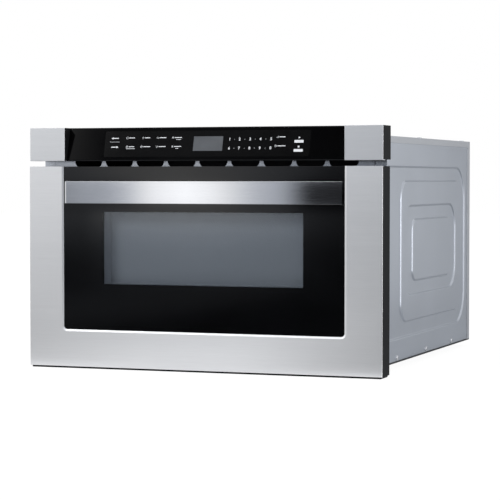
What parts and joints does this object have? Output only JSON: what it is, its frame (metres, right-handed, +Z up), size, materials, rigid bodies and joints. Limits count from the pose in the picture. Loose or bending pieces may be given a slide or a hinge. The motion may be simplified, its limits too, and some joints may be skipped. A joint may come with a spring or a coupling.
{
  "type": "microwave drawer",
  "caption": "Built-in microwave oven drawer: steel and black glass front, leaning touch panel above, powered sliding drawer on telescopic rails in a sheet cabinet.",
  "frame": {"origin": "on the floor under the middle of the appliance's width and depth, at the level of the drawer front's lower lip", "axes": "+X to the right seen from the room, +Y to the rear, +Z up; the drawer opens along -Y"},
  "size_m": [0.6064, 0.671, 0.395],
  "materials": {
    "brushed_stainless": "brushed lengthwise, satin",
    "coated_sheet": "zinc-grey coated sheet, satin",
    "base_sheet": "zinc-grey coated sheet, satin",
    "cavity_enamel": "light grey baked coating",
    "dark_plastic": "charcoal moulded plastic, fine grain",
    "black_glass": "black glass, glossy",
    "panel_glass": "black glass, glossy",
    "film_black": "black printed film",
    "display_lens": "smoked lens",
    "clear_glass": "clear glass",
    "screen_steel": "perforated sheet, dark coated",
    "ceramic_glass": "white ceramic glass",
    "grey_plastic": "grey moulded plastic",
    "light_plastic": "off-white moulded plastic",
    "rail_steel": "zinc plated steel",
    "zinc": "zinc plated",
    "aluminium": "bare aluminium",
    "gear_nylon": "natural nylon",
    "rack_nylon": "black nylon",
    "mica": "pressed mica sheet",
    "iron_core": "varnished laminated iron",
    "copper_winding": "enamelled copper wire",
    "capacitor_can": "drawn can",
    "board_green": "circuit board with parts",
    "switch_black": "moulded switch body",
    "hook_plastic": "moulded acetal",
    "bushing_black": "moulded nylon",
    "screw_zinc": "zinc plated screws",
    "lamp_white": "lamp housing and lens",
    "fan_plastic": "moulded fan"
  },
  "bodies": {
    "cabinet": {"base_plate": "base_sheet", "right_side_panel": "coated_sheet", "left_side_panel": "coated_sheet", "top_cover": "coated_sheet", "back_panel": "coated_sheet", "front_plate": "coated_sheet", "right_mounting_flange": "coated_sheet", "left_mounting_flange": "coated_sheet", "cavity_liner": "cavity_enamel", "rail_supports": "base_sheet", "right_outer_rail": "rail_steel", "left_outer_rail": "rail_steel", "drive_bracket": "base_sheet", "drive_motor": "zinc", "interlock_switches": "switch_black", "control_housing": "dark_plastic", "right_end_cap": "brushed_stainless", "left_end_cap": "brushed_stainless", "control_glass": "panel_glass", "keypad_film": "film_black", "display_window": "display_lens", "control_board": "board_green", "display_module": "light_plastic", "waveguide": "zinc", "magnetron": "aluminium", "stirrer_cover": "mica", "stirrer_motor": "zinc", "transformer_core": "iron_core", "transformer_windings": "copper_winding", "hv_capacitor": "capacitor_can", "capacitor_clamp": "zinc", "fan_shroud": "fan_plastic", "fan_motor": "zinc", "cavity_lamp": "lamp_white", "thermal_cutouts": "zinc", "exhaust_duct": "zinc", "power_board": "board_green", "noise_filter": "board_green", "mains_bushing": "bushing_black", "cabinet_screws": "screw_zinc"},
    "drawer": {"drawer_front_steel": "brushed_stainless", "door_glass": "black_glass", "trim_strip": "brushed_stainless", "door_frame": "dark_plastic", "window_screen": "screen_steel", "inner_glass": "clear_glass", "door_inner_plate": "cavity_enamel", "choke_ring": "dark_plastic", "drawer_walls": "grey_plastic", "drawer_pan": "cavity_enamel", "glass_tray": "ceramic_glass", "drive_rack": "rack_nylon", "latch_hooks": "hook_plastic", "right_inner_rail": "rail_steel", "left_inner_rail": "rail_steel"},
    "right_middle_slide": {"right_middle_rail": "rail_steel"},
    "left_middle_slide": {"left_middle_rail": "rail_steel"},
    "pinion": {"drive_pinion": "gear_nylon"},
    "stirrer_fan": {"stirrer": "aluminium"},
    "cooling_fan": {"fan_wheel": "fan_plastic"}
  },
  "joints": [
    {"name": "drawer_slide", "type": "slide", "parent": "cabinet", "child": "drawer", "axis": [0, -1, 0], "range_m": [0, 0.381]},
    {"name": "right_rail_slide", "type": "slide", "parent": "cabinet", "child": "right_middle_slide", "axis": [0, -1, 0], "range_m": [0, 0.1906]},
    {"name": "left_rail_slide", "type": "slide", "parent": "cabinet", "child": "left_middle_slide", "axis": [0, -1, 0], "range_m": [0, 0.1906]},
    {"name": "pinion_spin", "type": "hinge", "parent": "cabinet", "child": "pinion", "pos_m": [0, -0.2305, 0.059], "axis": [1, 0, 0], "range_deg": [0, 970.71]},
    {"name": "stirrer_spin", "type": "hinge", "parent": "cabinet", "child": "stirrer_fan", "pos_m": [0, -0.0619, 0.3], "axis": [0, 0, 1], "continuous": true},
    {"name": "fan_spin", "type": "hinge", "parent": "cabinet", "child": "cooling_fan", "pos_m": [0.165, 0.3145, 0.11], "axis": [0, 1, 0], "continuous": true}
  ],
  "couplings": [
    {"joint": "right_rail_slide", "follows": "drawer_slide", "ratio": 0.5},
    {"joint": "left_rail_slide", "follows": "drawer_slide", "ratio": 0.5},
    {"joint": "pinion_spin", "follows": "drawer_slide", "rad_per_m": 44.444}
  ]
}
